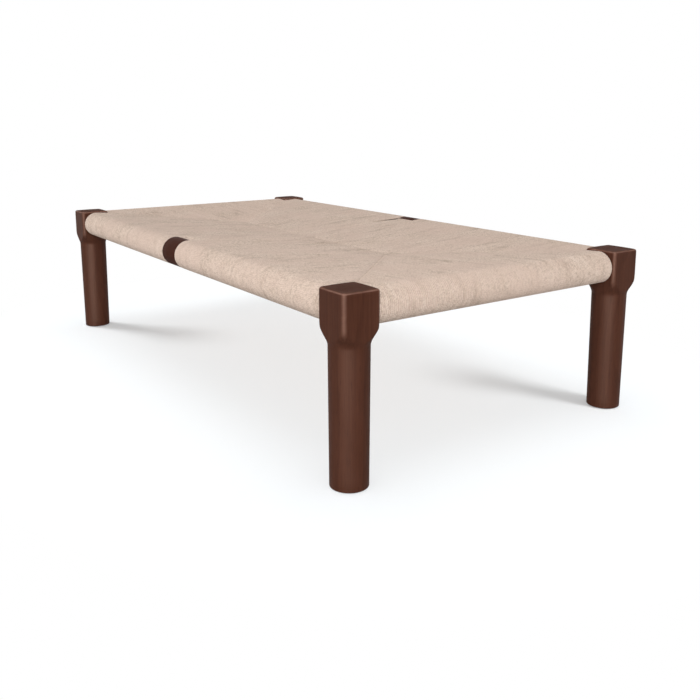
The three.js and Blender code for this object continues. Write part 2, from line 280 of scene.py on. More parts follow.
walnutLook = {
    "light": colour(0.082, 0.030, 0.018),
    "warm": colour(0.072, 0.025, 0.014),
    "dark": colour(0.038, 0.012, 0.007),
    "pore": colour(0.026, 0.010, 0.007),
    "pith": (0.055, 0.03, 0),
    "turn": (0, 0, 0),
    "patchLimits": (0.35, 0.68),
    "ringScale": 60.0,
    "waviness": 2.0,
    "ringDepth": 0.36,
    "fibreLimits": (0.35, 0.7),
    "fibreDepth": 0.4,
    "poreDepth": 0.45,
    "roughness": 0.44,
    "unevenGloss": 0.12,
    "bump": 0.25,
    "bumpHeight": 0.0004,
    "specular": 0.07,
    "glint": colour(1.0, 0.66, 0.52),
}
legWood = timberMaterial("stainedLegWood", {
    **walnutLook,
    "endGrain": (0.3762, 0.3772), "endRoughness": 0.36, "endSoak": 0.6,
    # the paler colour of the rim and corners is a painted highlight, along with a little rubbing
    "paleHighlightAndWear": colour(0.30, 0.16, 0.12), "rubbing": (0.5, 1.0),
    "rimLevel": 0.3757, "rimWidth": 0.0020, "rimHighlightAndWear": 0.8,
    "legMiddle": (0.72075, 0.37075), "cornerBand": (0.0325, 0.0392), "cornerHighlightAndWear": 0.42,
})
longRailWood = timberMaterial("stainedRailWood", {
    **walnutLook,
    "turn": (0, pi / 2, 0), "pith": (0, 0.34, 0.02), "specular": 0.04, "roughness": 0.5,
    "light": colour(0.054, 0.016, 0.009), "warm": colour(0.047, 0.013, 0.007),
})
endRailWood = timberMaterial("stainedEndRailWood", {
    **walnutLook,
    "turn": (pi / 2, 0, 0), "pith": (0.6, 0, 0.03),
})
beechWood = timberMaterial("bareBeech", {
    **walnutLook,
    "light": colour(0.50, 0.30, 0.16),
    "warm": colour(0.43, 0.24, 0.12),
    "dark": colour(0.27, 0.14, 0.07),
    "pore": colour(0.16, 0.08, 0.04),
    "turn": (pi / 2, 0, 0),
    "pith": (0.04, 0, 0.2),
    "ringDepth": 0.3,
    "roughness": 0.6,
})


# twisted paper cord: u goes once round the cord, v runs along it in metres
cordLook = {
    "light": colour(0.74, 0.612, 0.522),
    "dark": colour(0.66, 0.522, 0.431),
    "rosy": colour(0.703, 0.552, 0.471),
    # the darker colour is painted shade in ply grooves and lay lines, and the cord's own dark flecks and
    # crinkles; the paler one is painted light in lay lines, and the cord's own pale flecks
    "grooveShadeAndFleck": colour(0.40, 0.30, 0.235),
    "paleLightAndFleck": colour(0.80, 0.67, 0.58),
    "toneLimits": (0.3, 0.7),      # how far the cords differ from one another
    "plies": 3,
    "twist": 13.0,                 # mm along the cord for one turn of a ply
    "plyRoundness": 0.55,
    "plyHeight": 0.5,              # mm
    # painted shade in the grooves between the plies
    "grooveShadeLimits": (0.55, 0.0), "grooveShadeDepth": 0.75,
    # noises: from ply to ply or cord to cord, and how many to the metre along the cord
    "crinkleRun": (5.0, 160.0, 40.0), "crinkleHeight": 0.12,
    "crinkleLimits": (0.55, 0.75), "crinkleDepth": 0.25,
    "streakRun": (90.0, 22.0), "streakLimits": (0.5, 0.72), "streakDepth": 0.5,
    "fleckRun": (500.0, 190.0), "fleckDepth": 0.54,
    "fleckDark": (0.48, 0.66), "fleckPale": (0.50, 0.34),
    "cloudScale": 9.0, "cloudLimits": (0.42, 0.62), "cloudDepth": 0.55,
    # long faint lines of painted light and shade, as where a few cords lie unevenly: so many to the metre
    # across the cords and along them
    "layAcross": 42.0, "layAlong": 10.0, "layPaintDepth": 0.68,
    "layPaintedShade": (0.53, 0.68), "layPaintedLight": (0.47, 0.32),
    "roughness": (0.68, 0.86),
    "bump": 0.8,
    "specular": 0.05,
}


def cordMaterial(name, layScale):
    material, board = newMaterial(name)
    look = cordLook
    uv = board.add("ShaderNodeUVMap", uv_map="cordRun").outputs[0]
    around, along = board.add("ShaderNodeSeparateXYZ", {0: uv}).outputs[:2]
    tone = board.add("ShaderNodeAttribute", attribute_name="strandTone").outputs["Fac"]
    place = board.add("ShaderNodeTexCoord").outputs["Object"]
    turns = board.times(along, 1000 / look["twist"])
    phase = board.times(board.math("ADD", around, turns), look["plies"])
    ridge = board.times(board.math("PINGPONG", phase, 0.5), 2.0)
    ply = board.math("POWER", ridge, look["plyRoundness"])
    plyToPly, alongPly, cordToCord = look["crinkleRun"]
    plyRun = board.vector(
        board.times(phase, plyToPly), board.times(along, alongPly), board.times(tone, cordToCord))
    crinkle = board.blotches(plyRun, 3.0, 0.6)
    cordToCord, alongCord = look["streakRun"]
    streak = board.blotches(
        board.vector(board.times(tone, cordToCord), board.times(along, alongCord), 0.0), 3.0, 0.6)
    cordToCord, alongCord = look["fleckRun"]
    fleck = board.blotches(
        board.vector(board.times(tone, cordToCord), board.times(along, alongCord), around), 2.0, 0.7)
    cloud = board.blotches(place, 3.0, 0.55, look["cloudScale"])
    # painted light and shade along cords that lie unevenly
    layLightAndShade = board.blotches(board.stretched(place, layScale), 3.5, 0.77)
    base = board.mix(board.spread(tone, 0.0, 1.0, *look["toneLimits"]), look["light"], look["dark"])
    # the lay lines are painted light and shade, the ply grooves painted shade; the flecks, clouds, streaks
    # and crinkles are the cord's own tones
    for mask, limits, depth, tint in (
            (layLightAndShade, "layPaintedShade", "layPaintDepth", "grooveShadeAndFleck"),
            (layLightAndShade, "layPaintedLight", "layPaintDepth", "paleLightAndFleck"),
            (fleck, "fleckDark", "fleckDepth", "grooveShadeAndFleck"),
            (fleck, "fleckPale", "fleckDepth", "paleLightAndFleck"),
            (cloud, "cloudLimits", "cloudDepth", "rosy"),
            (streak, "streakLimits", "streakDepth", "dark"),
            (ply, "grooveShadeLimits", "grooveShadeDepth", "grooveShadeAndFleck"),
            (crinkle, "crinkleLimits", "crinkleDepth", "grooveShadeAndFleck")):
        share = board.times(board.spread(mask, *look[limits]), look[depth])
        base = board.mix(share, base, look[tint])
    height = board.math(
        "ADD", board.times(ply, look["plyHeight"]), board.times(crinkle, look["crinkleHeight"]))
    bump = board.add("ShaderNodeBump", {"Strength": look["bump"], "Distance": mm, "Height": height})
    finishMaterial(board, {
        "Base Color": base, "Roughness": board.spread(crinkle, 0.3, 0.7, *look["roughness"]),
        "Normal": bump.outputs[0], "Specular IOR Level": look["specular"],
    })
    return material


layAcross, layAlong = cordLook["layAcross"], cordLook["layAlong"]
longSideCord = cordMaterial("twistedPaperCord", (layAcross, layAlong, layAlong))
endCord = cordMaterial("twistedPaperCordEnds", (layAlong, layAcross, layAlong))

# nylon glides and steel tacks
plainLook = {
    "unevenGloss": 0.15,
    "fineScale": 40,         # how much finer the surface's grain is than its marks
    "fineHeight": 0.0002,
}


def plainFinish(name, light, dark, roughness, metallic, bumpDepth, scale):
    material, board = newMaterial(name)
    look = plainLook
    place = board.add("ShaderNodeTexCoord").outputs["Object"]
    marks = board.add(
        "ShaderNodeGroup", {"Vector": place, "Scale": scale}, node_tree=marksGroup).outputs["Mask"]
    fine = board.blotches(place, 2.0, scale=scale * look["fineScale"])
    bump = board.add("ShaderNodeBump", {
        "Strength": bumpDepth, "Distance": look["fineHeight"], "Height": fine,
    })
    finishMaterial(board, {
        "Base Color": board.mix(marks, light, dark),
        "Roughness": board.spread(marks, 0.0, 1.0, roughness, roughness + look["unevenGloss"]),
        "Metallic": metallic, "Normal": bump.outputs[0],
    })
    return material


darkNylon = plainFinish(
    "darkNylon", colour(0.024, 0.020, 0.018), colour(0.040, 0.034, 0.030),
    roughness=0.45, metallic=0.0, bumpDepth=0.3, scale=60)
tackSteel = plainFinish(
    "tackSteel", colour(0.50, 0.51, 0.52), colour(0.33, 0.33, 0.34),
    roughness=0.3, metallic=1.0, bumpDepth=0.2, scale=150)
print("materials made")


# shapes

def finishPiece(name, shape, material, slotName, *stoodFor):
    mesh = bpy.data.meshes.new(name)
    shape.to_mesh(mesh)
    shape.free()
    for face in mesh.polygons:
        face.use_smooth = True
    mesh.materials.append(material)
    piece = bpy.data.objects.new(name, mesh)
    bpy.context.scene.collection.objects.link(piece)
    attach(piece, "root")
    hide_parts(*stoodFor)
    return piece


def spun(points, steps):
    # a profile of (radius, height) turned round Z
    shape = bmesh.new()
    row = [shape.verts.new((radius * mm, 0, height * mm)) for radius, height in points]
    edges = [shape.edges.new(pair) for pair in zip(row, row[1:])]
    bmesh.ops.spin(
        shape, geom=row + edges, cent=(0, 0, 0), axis=(0, 0, 1), angle=2 * pi, steps=steps, use_merge=True)
    bmesh.ops.remove_doubles(shape, verts=shape.verts[:], dist=1e-6)
    bmesh.ops.recalc_face_normals(shape, faces=shape.faces[:])
    return shape


def arc(radius, middle, height, fromAngle, toAngle, steps):
    turns = [fromAngle + (toAngle - fromAngle) * step / steps for step in range(steps + 1)]
    return [(middle + radius * cos(turn), height + radius * sin(turn)) for turn in turns]


# leg: a squared timber turned down to a round leg below its shoulder
legShape = {
    "half": 41.15,           # half the block's side
    "corner": 8.0,           # rounding of its upright corners
    "rim": 5.0,              # rounding round its top
    "dome": 0.9,
    "height": 378.0,
    "shaftRadius": 39.2,     # under the shoulder
    "footRadius": 37.4,
    "footRounding": 2.0,
    "ogeeLow": 271.0,
    "ogeeHigh": 312.0,
    "ogeeOut": 55.2,
    "blockOut": 60.0,
    "softness": 2.0,         # how much the shoulder's edges are sanded
    "glideRadius": 19.3,
    "glideDepth": 4.3,
    "proud": 1.5,            # the foot stands this far off the floor, on its glide
    "steps": 128,
    "taperRows": 12,
    "ogeeRows": 30,
    "blockRows": 9,
    "rimRoom": 8,            # the block's last row stands this far below its top
    "domeRings": (1, 0.87, 0.74, 0.6, 0.45, 0.3, 0.15, 0),
    "crowding": 0.7,         # more columns at the block's corners
}


def blockEdge(angle):
    # from the leg's middle to the side of its rounded square
    shape = legShape
    turn = abs((angle + pi / 4) % (pi / 2) - pi / 4)
    if shape["half"] * sin(turn) / cos(turn) <= shape["half"] - shape["corner"]:
        return shape["half"] / cos(turn)
    middle = shape["half"] - shape["corner"]
    lean = middle * (cos(turn) - sin(turn))
    return middle * (cos(turn) + sin(turn)) + sqrt(max(shape["corner"] ** 2 - lean ** 2, 0))


def softLower(first, second, reach):
    overlap = max(reach - abs(first - second), 0) / reach
    return min(first, second) - overlap ** 2 * reach / 4


def legOutline():
    look = legShape
    glide, proud, rounding = look["glideRadius"], look["proud"], look["footRounding"]
    points = [(0, look["glideDepth"]), (glide, look["glideDepth"]), (glide, proud)]
    points += arc(rounding, look["footRadius"] - rounding, proud + rounding, -pi / 2, 0, 4)
    foot, shoulder = proud + rounding, look["ogeeLow"]
    for row in range(1, look["taperRows"]):
        share = row / look["taperRows"]
        radius = look["footRadius"] + (look["shaftRadius"] - look["footRadius"]) * share
        points.append((radius, foot + (shoulder - foot) * share))
    middle = (look["shaftRadius"] + look["ogeeOut"]) / 2
    swing = (look["ogeeOut"] - look["shaftRadius"]) / 2
    for row in range(look["ogeeRows"] + 1):
        share = row / look["ogeeRows"]
        height = shoulder + (look["ogeeHigh"] - shoulder) * share
        points.append((middle + swing * sin(pi * (share - 0.5)), height))
    side = look["height"] - look["rimRoom"] - look["ogeeHigh"]
    for row in range(1, look["blockRows"] + 1):
        points.append((look["blockOut"], look["ogeeHigh"] + side * row / look["blockRows"]))
    for share in look["domeRings"]:
        points.append((look["blockOut"] * share, look["height"] - look["dome"] * share ** 2))
    return points


def makeLeg(name, middle):
    look = legShape
    shape = spun(legOutline(), look["steps"])
    cap = (look["height"] - look["dome"] - 1) * mm  # what is above this is the domed top
    rim = set()
    for vert in shape.verts:
        radius, angle, height = hypot(vert.co.x, vert.co.y) / mm, atan2(vert.co.y, vert.co.x), vert.co.z
        angle += look["crowding"] * sin(4 * angle) / 4
        edge = blockEdge(angle)
        if height < cap:
            radius = softLower(radius, edge, look["softness"])
        else:
            if abs(radius - look["blockOut"]) < 0.01:
                rim.add(vert)
            radius *= edge / look["blockOut"]
            height = (look["height"] - look["dome"] * (radius / look["ogeeOut"]) ** 2) * mm
        vert.co = (radius * mm * cos(angle), radius * mm * sin(angle), height)
    rimEdges = [edge for edge in shape.edges if edge.verts[0] in rim and edge.verts[1] in rim]
    bmesh.ops.bevel(
        shape, geom=rimEdges, offset=look["rim"] * mm, offset_type="OFFSET", segments=4, profile=0.5,
        affect="EDGES", material=-1)
    bmesh.ops.translate(shape, vec=middle, verts=shape.verts[:])
    return finishPiece(name + "_turned", shape, legWood, "stained_wood", name)


for name in ("leg_right_back", "leg_left_back", "leg_left_front", "leg_right_front"):
    low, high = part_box(name)
    makeLeg(name, Vector(((low.x + high.x) / 2, (low.y + high.y) / 2, 0)))
print("legs turned")


# long rail: turned, with a bare band left standing at its middle
railShape = {
    "radius": 31.2,
    "bandRadius": 35.6,
    "bandHalf": 38.0,
    "bandRounding": 0.9,
    "tenonRadius": 16.0,
    "toLegMiddle": 720.75,
    "blockHalf": 41.25,
    "gap": 0.3,
    "frontBand": -13.0,      # middle of the bare band along the front rail
    "backBand": 0.0,
    "axisY": 370.75,
    "axisZ": 338.5,
    "steps": 96,
}


def railOutline(bandMiddle):
    look = railShape
    shoulder = look["toLegMiddle"] - look["blockHalf"] - look["gap"]
    tip = look["toLegMiddle"] + look["tenonRadius"]
    rounding = look["bandRounding"]
    edge = arc(rounding, look["bandRadius"] - rounding, look["bandHalf"] - rounding, 0, pi / 2, 4)
    edge.append((look["radius"], look["bandHalf"]))
    band = [(radius, -place) for radius, place in reversed(edge)] + edge
    tenon = look["tenonRadius"]
    end = [(look["radius"], shoulder), (tenon, shoulder), (tenon, tip), (0, tip)]
    start = [(radius, -place) for radius, place in reversed(end)]
    return start + [(radius, bandMiddle + place) for radius, place in band] + end


def makeLongRail(name, side, bandMiddle):
    look = railShape
    shape = spun(railOutline(bandMiddle), look["steps"])
    bmesh.ops.rotate(shape, cent=(0, 0, 0), matrix=Matrix.Rotation(pi / 2, 3, "Y"), verts=shape.verts[:])
    for end in (1, -1):  # mitre each tenon, so that two meet in a leg
        ring = bmesh.ops.bisect_plane(
            shape, geom=shape.verts[:] + shape.edges[:] + shape.faces[:],
            plane_co=(end * (look["toLegMiddle"] - look["gap"]) * mm, 0, 0), plane_no=(end, -side, 0),
            clear_outer=True)
        cutEdges = [item for item in ring["geom_cut"] if isinstance(item, bmesh.types.BMEdge)]
        bmesh.ops.contextual_create(shape, geom=cutEdges)
    bmesh.ops.translate(shape, vec=(0, side * look["axisY"] * mm, look["axisZ"] * mm), verts=shape.verts[:])
    return finishPiece(name + "_turned", shape, longRailWood, "stained_wood", name)


makeLongRail("rail_front", -1, railShape["frontBand"])
makeLongRail("rail_back", 1, railShape["backBand"])
print("long rails turned")


# woven top

weave = {
    "cordAcross": 4.3,       # mm, squeezed a little between its neighbours
    "cordHigh": 4.5,
    "pitch": 4.41,
    "wrapMiddle": 33.75,     # middle of the cord round a rail
    "slope": 0.065,          # fall of the top towards the middle
    "axisZ": railShape["axisZ"],
    "longAxis": railShape["toLegMiddle"],  # half length to the end rails' axes
    "crossAxis": railShape["axisY"],       # half width to the long rails' axes
    "blockHalf": railShape["blockHalf"],
    "blockGap": 0.45,
    "bandHalf": railShape["bandHalf"],
    "bandGap": 0.15,
    "sides": 8,
    "sheetRows": 7,
    "arcRows": 14,
    "seamGap": -0.3,         # the cords of two fields press together where they go down
    "seamStray": 2.4,        # and reach a little past each other
    "turnDown": 2.4,         # bend of a cord where it goes down between two fields
    "drop": 2.2,             # how far it then goes straight down
    "overStretcher": 33.0,   # nearer the middle than this there is no room to go down
    "jostle": 0.3,           # each cord lies this far out of its even place,
    "proudest": 0.25,        # and stands this much high or low
    "seed": 11,
    "sway": 0.55,            # uneven lay, sideways
    "lift": 0.45,            # and up and down
    "firmFor": (40.0, 60.0),     # lift and sway grow from the rail over these lengths
    "unevenRun": (0.9, 0.012),   # how fast both change from cord to cord, and along a cord
    "layers": {"lift": 20.3, "swayAbove": 3.1, "swayBelow": 9.7, "fillers": 5.5},
    "partingReach": 14,      # the cords beside a gap between cords lie straight again over this length
}
tilt = atan(weave["slope"])


def sheetLevel(inwards):
    return weave["wrapMiddle"] / cos(tilt) - weave["slope"] * inwards


def cordTemplate(stations):
    # a straight tube along Z, one ring to each station, with its two ends closed
    shape = bmesh.new()
    bmesh.ops.create_circle(shape, segments=weave["sides"], radius=1, cap_ends=False)
    edges = shape.edges[:]
    for station in range(1, stations):
        grown = bmesh.ops.extrude_edge_only(shape, edges=edges)["geom"]
        edges = [item for item in grown if isinstance(item, bmesh.types.BMEdge) and item.is_boundary]
        newVerts = [item for item in grown if isinstance(item, bmesh.types.BMVert)]
        bmesh.ops.translate(shape, vec=(0, 0, 1), verts=newVerts)
    bmesh.ops.holes_fill(shape, edges=[edge for edge in shape.edges if edge.is_boundary])
    bmesh.ops.recalc_face_normals(shape, faces=shape.faces[:])
    run = shape.loops.layers.uv.new("cordRun")
    for face in shape.faces:
        turns = [(atan2(loop.vert.co.y, loop.vert.co.x) / (2 * pi)) % 1 for loop in face.loops]
        wraps = max(turns) - min(turns) > 0.5 and len(face.verts) == 4
        for loop, turn in zip(face.loops, turns):
            loop[run].uv = (turn + 1 if wraps and turn < 0.5 else turn, loop.vert.co.z)
    mesh = bpy.data.meshes.new("cordTemplate%d" % stations)
    shape.to_mesh(mesh)
    shape.free()
    return mesh


templates = {}


def layCord(field, route, tone):
    # route: a list of (place, outward direction), both in the side's own frame, in mm
    if len(route) not in templates:
        templates[len(route)] = cordTemplate(len(route))
    firstVert, firstFace = len(field.verts), len(field.faces)
    field.from_mesh(templates[len(route)])
    field.verts.ensure_lookup_table()
    field.faces.ensure_lookup_table()
    across, high = weave["cordAcross"] / 2, weave["cordHigh"] / 2
    rings, lengths = [], [0.0]
    for index, (place, outward) in enumerate(route):
        before, after = route[max(index - 1, 0)][0], route[min(index + 1, len(route) - 1)][0]
        along = (after - before).normalized()
        out = (outward - along * outward.dot(along)).normalized()
        rings.append((place, along.cross(out), out))
        if index:
            lengths.append(lengths[-1] + (place - before).length)
    toneLayer = field.verts.layers.float["strandTone"]
    for vert in field.verts[firstVert:]:
        place, side, out = rings[round(vert.co.z)]
        vert.co = (place + side * (vert.co.x * across) + out * (vert.co.y * high)) * mm
        vert[toneLayer] = tone
    run = field.loops.layers.uv["cordRun"]
    start = tone * 7
    for face in field.faces[firstFace:]:
        for loop in face.loops:
            loop[run].uv.y = start + lengths[round(loop[run].uv.y)] * mm


def newField():
    field = bmesh.new()
    field.loops.layers.uv.new("cordRun")
    field.verts.layers.float.new("strandTone")
    return field


def unevenness(alongRail, inwards, layer):
    fromCord, alongCord = weave["unevenRun"]
    return noise.noise(Vector((alongRail * fromCord, inwards * alongCord, layer + weave["seed"])))


# The parts of a cord's section come as rows of (inwards, level, outward inwards, outward up)

def diveDown(inwards, level, sign):
    # the cord bends down between two fields, its deepest row last
    bend, drop = weave["turnDown"], weave["drop"]
    rows = []
    for turn in (pi / 6, pi / 3):
        bent = level - bend + bend * cos(turn)
        rows.append((inwards + bend * sin(turn), sign * bent, sin(turn), sign * cos(turn)))
    rows.append((inwards + bend, sign * (level - bend), 1, sign * 0.05))
    rows.append((inwards + bend, sign * (level - bend - drop), 1, 0))
    return rows


def sheetHalf(alongRail, reach, dives, sign, proud):
    # from the rail inwards, on the top for a sign of 1 and below for -1
    end = reach - weave["seamGap"]
    if dives:
        end -= weave["cordHigh"] / 2 + weave["turnDown"]
    rows = []
    for row in range(1, weave["sheetRows"] + 1):
        inwards = end * row / weave["sheetRows"]
        wave = weave["lift"] * min(inwards / weave["firmFor"][0], 1)
        wave *= unevenness(alongRail, inwards, weave["layers"]["lift"] * sign)
        rows.append((inwards, sign * (sheetLevel(inwards) + wave + proud), 0, sign))
    if dives:
        rows += diveDown(end, sheetLevel(end), sign)
    return rows


def wrapArc():
    rows, radius = weave["arcRows"], weave["wrapMiddle"]
    turns = [pi / 2 - tilt + (pi + 2 * tilt) * row / rows for row in range(rows + 1)]
    return [(radius * cos(turn), radius * sin(turn), cos(turn), sin(turn)) for turn in turns]


def settle(alongRail, rows, sway):
    # rows made a route, each swayed a little sideways
    route = []
    for inwards, level, outIn, outUp in rows:
        spread = min(max(inwards, 0) / weave["firmFor"][1], 1)
        layer = weave["layers"]["swayAbove" if level > 0 else "swayBelow"]
        push = weave["sway"] * spread * unevenness(alongRail, inwards, layer)
        shift, dip = sway(alongRail, inwards) if level > 0 else (0, 0)
        route.append((Vector((alongRail + shift + push, inwards, level - dip)), Vector((0, outIn, outUp))))
    return route


def strandRoute(alongRail, reach, dives, sway, proud=0.0):
    # one cord: out of the seam, over the top, round the rail, back below and into the seam again
    above = sheetHalf(alongRail, reach, dives, 1, proud)
    below = sheetHalf(alongRail, reach, dives, -1, proud)
    return settle(alongRail, above[::-1] + wrapArc() + below, sway)


def finishField(name, field, turn, axis, cord):
    # the side's own frame, with its rail along X and the table's middle at +Y, turned into place
    matrix = Matrix.Rotation(turn, 4, "Z")
    bmesh.ops.transform(field, matrix=matrix, verts=field.verts[:])
    bmesh.ops.translate(field, vec=Vector((axis[0], axis[1], weave["axisZ"])) * mm, verts=field.verts[:])
    print("woven:", name, len(field.faces), "faces")
    return finishPiece(name + "_strands", field, cord, "paper_cord", name)


# Behind the bare band: the first two cords of the half on the rail's -X side turn aside and run
# along the band, and short straight cords fill the top between the halves
behindBand = {
    "crossings": 2,
    "track": 23.5,           # the first of them runs this far inwards of the rail's axis
    "leadIn": (0.4, 0.75),   # rows up to its turn, as shares of the way
    "turn": 5.0,             # radius of its turn
    "turnRows": 6,
    "bandRows": 8,
    "overBand": 37.9,        # from the rail's axis to the middle of a cord on the band
    "tuckLength": 9.0,       # the cords go down beside the other half over this length
    "tuckDrop": 4.6,
    "tuckRows": (0.35, 0.7, 1.0),
    "fillerStart": 32.6,
    "fillerRise": ((0, 6.0), (1.2, 3.4), (3.6, 1.0), (7.5, 0.0)),
    "spanRows": 14,
    "crease": 60.0,          # the fillers cross the middle in a soft bend
    "sway": 0.33,
    "slitWide": 7.5,         # the slit on top between the fillers and the half beside them
    "slitLong": 90.0,
    "slitSink": (3.4, 2.8, 1.9, 0.9),  # the fillers nearest the slit lie lower
    "proud": (1.3, 0.8, 0.3),  # the next half's first cords stand a little higher
}


def crossingRoute(alongRail, strand, bandMiddle):
    look = behindBand
    bandLow, bandHigh = bandMiddle - weave["bandHalf"], bandMiddle + weave["bandHalf"]
    across = weave["pitch"] * strand
    radius = look["turn"] + across
    centreX = alongRail + radius
    centreIn = look["track"] - look["turn"]
    plan = [(alongRail, centreIn * share) for share in look["leadIn"]]
    for row in range(look["turnRows"] + 1):
        turn = pi - pi / 2 * row / look["turnRows"]
        plan.append((centreX + radius * cos(turn), centreIn + radius * sin(turn)))
    track = look["track"] + across
    tuckFrom = bandHigh - look["tuckLength"] * 0.5
    rows = look["bandRows"]
    plan += [(centreX + (tuckFrom - centreX) * row / rows, track) for row in range(1, rows + 1)]
    plan += [(tuckFrom + look["tuckLength"] * share, track) for share in look["tuckRows"]]
    halves = []
    for sign in (1, -1):
        half = []
        for x, inwards in plan:
            level = sheetLevel(inwards)
            onBand = min(max((x - bandLow) / weave["cordAcross"] + 0.5, 0), 1)
            needed = sqrt(max(look["overBand"] ** 2 - inwards ** 2, 0))
            level += (needed - level) * onBand  # pulled down snug on the band
            sunk = min(max((x - tuckFrom) / look["tuckLength"], 0), 1)
            level -= look["tuckDrop"] * (3 - 2 * sunk) * sunk ** 2
            half.append((Vector((x, inwards, sign * level)), Vector((0, 0, sign))))
        halves.append(half)
    wrap = []
    for inwards, level, outIn, outUp in wrapArc():
        wrap.append((Vector((alongRail, inwards, level)), Vector((0, outIn, outUp))))
    return halves[0][::-1] + wrap + halves[1]


def fillerCount():
    width = 2 * weave["bandHalf"] + behindBand["crossings"] * weave["pitch"]
    return round(width / weave["pitch"])


def besideSlit(inwards, sign):
    # 1 where the slit is widest, 0 past its end and on the underside
    look = behindBand
    share = min(max(1 - (inwards - look["fillerStart"]) / look["slitLong"], 0), 1)
    return share if sign > 0 else 0


def fillerPlace(bandMiddle, index, inwards, sign=1):
    # along the rail; the fillers crowd together beside the rail, to leave the slit
    look = behindBand
    low = bandMiddle - weave["bandHalf"] - look["crossings"] * weave["pitch"]
    high = bandMiddle + weave["bandHalf"] - look["slitWide"] * besideSlit(inwards, sign)
    return high - (high - low) * (index + 0.5) / fillerCount()


def fillerSink(index, inwards, sign):
    sinks = behindBand["slitSink"]
    return sinks[index] * besideSlit(inwards, sign) if index < len(sinks) else 0.0


def fillerStart(sign):
    look = behindBand
    rows = []
    for further, lower in look["fillerRise"]:
        inwards = look["fillerStart"] + further
        rows.append((inwards, sign * (sheetLevel(inwards) - lower), -0.4 if lower > 1 else 0, sign))
    return rows


def spanRoute(bandHere, bandThere, index, shared, sign):
    # one cord from rail to rail, over the stretcher for a sign of 1 and under it for -1
    start = fillerStart(sign)
    width = 2 * weave["crossAxis"]
    first = start[-1][0]
    rows = start[:]
    for row in range(1, behindBand["spanRows"]):
        inwards = first + (width - 2 * first) * row / behindBand["spanRows"]
        level = sheetLevel(softLower(inwards, width - inwards, behindBand["crease"]))
        rows.append((inwards, sign * level, 0, sign))
    rows += [(width - inwards, level, -outIn, outUp) for inwards, level, outIn, outUp in reversed(start)]
    route = []
    for inwards, level, outIn, outUp in rows:
        share = inwards / width
        here = fillerPlace(bandHere, index, inwards, sign)
        there = -fillerPlace(bandThere, shared - 1 - index, width - inwards, sign)
        x = here + (there - here) * (3 - 2 * share) * share ** 2
        x += behindBand["sway"] * unevenness(here, inwards, weave["layers"]["fillers"] * sign)
        level -= fillerSink(index, inwards, sign)
        level -= fillerSink(shared - 1 - index, width - inwards, sign)
        route.append((Vector((x, inwards, level)), Vector((0, outIn, outUp))))
    return route


def shortFiller(bandHere, index, sign):
    # one cord from behind the band to the middle seam
    end = weave["crossAxis"] - weave["seamGap"]
    dives = abs(fillerPlace(bandHere, index, end)) > weave["overStretcher"]
    if dives:
        end -= weave["cordHigh"] / 2 + weave["turnDown"]
    rows = fillerStart(sign)
    first = rows[-1][0]
    for row in range(1, weave["sheetRows"] + 1):
        inwards = first + (end - first) * row / weave["sheetRows"]
        rows.append((inwards, sign * sheetLevel(inwards), 0, sign))
    if dives:
        rows += diveDown(end, sheetLevel(end), sign)
    route = []
    for inwards, level, outIn, outUp in rows:
        level -= fillerSink(index, inwards, sign)
        place = Vector((fillerPlace(bandHere, index, inwards, sign), inwards, level))
        route.append((place, Vector((0, outIn, outUp))))
    return route


def layFillers(field, hand, bandHere, bandThere, draw):
    shared = round((bandHere + bandThere + 2 * weave["bandHalf"]) / weave["pitch"])
    for index in range(fillerCount()):
        here = fillerPlace(bandHere, index, weave["crossAxis"])
        if index < shared:
            there = -fillerPlace(bandThere, shared - 1 - index, weave["crossAxis"])
            mine = hand > 0 and here + there > 0
        else:
            mine = hand * here > 0
        if not mine:
            continue
        for sign in (1, -1):
            if index < shared:
                route = spanRoute(bandHere, bandThere, index, shared, sign)
            else:
                route = shortFiller(bandHere, index, sign)
            layCord(field, route, draw.random())


# where the cords of a long side stand apart: the side of each gap that lies lower, and for each gap
# (along the rail, inwards, gap, length, drop)
partings = {
    "front": (1, [
        (-87, 350, 7, 24, 2.6), (146, 345, 9, 34, 3.4), (290, 350, 7, 22, 2.2),
        (52, 211, 7, 22, 2.6), (-190, 240, 6, 26, 2.2), (330, 190, 7, 26, 2.6),
    ]),
    "back": (-1, [(87, 352, 6, 20, 2.0), (-200, 300, 7, 30, 2.6), (210, 170, 6, 28, 2.2)]),
}


def swayFrom(lowSide=1, spots=()):
    def sway(alongRail, inwards):
        shift = dip = 0.0
        for spotX, spotIn, gap, length, drop in spots:
            aside = alongRail - spotX
            near = exp(-abs(aside) / weave["partingReach"]) * exp(-((inwards - spotIn) / length) ** 2)
            shift += gap / 2 * near * (1 if aside > 0 else -1)
            if aside * lowSide > 0:
                dip += drop * near
        return shift, dip
    return sway


def strayed(draw, place, strand, count):
    # a cord's own place along its rail and its height, a little off; the outermost ones keep theirs
    if strand in (0, count):
        return place, 0.0
    return place + draw.uniform(-1, 1) * weave["jostle"], draw.uniform(-1, 1) * weave["proudest"]


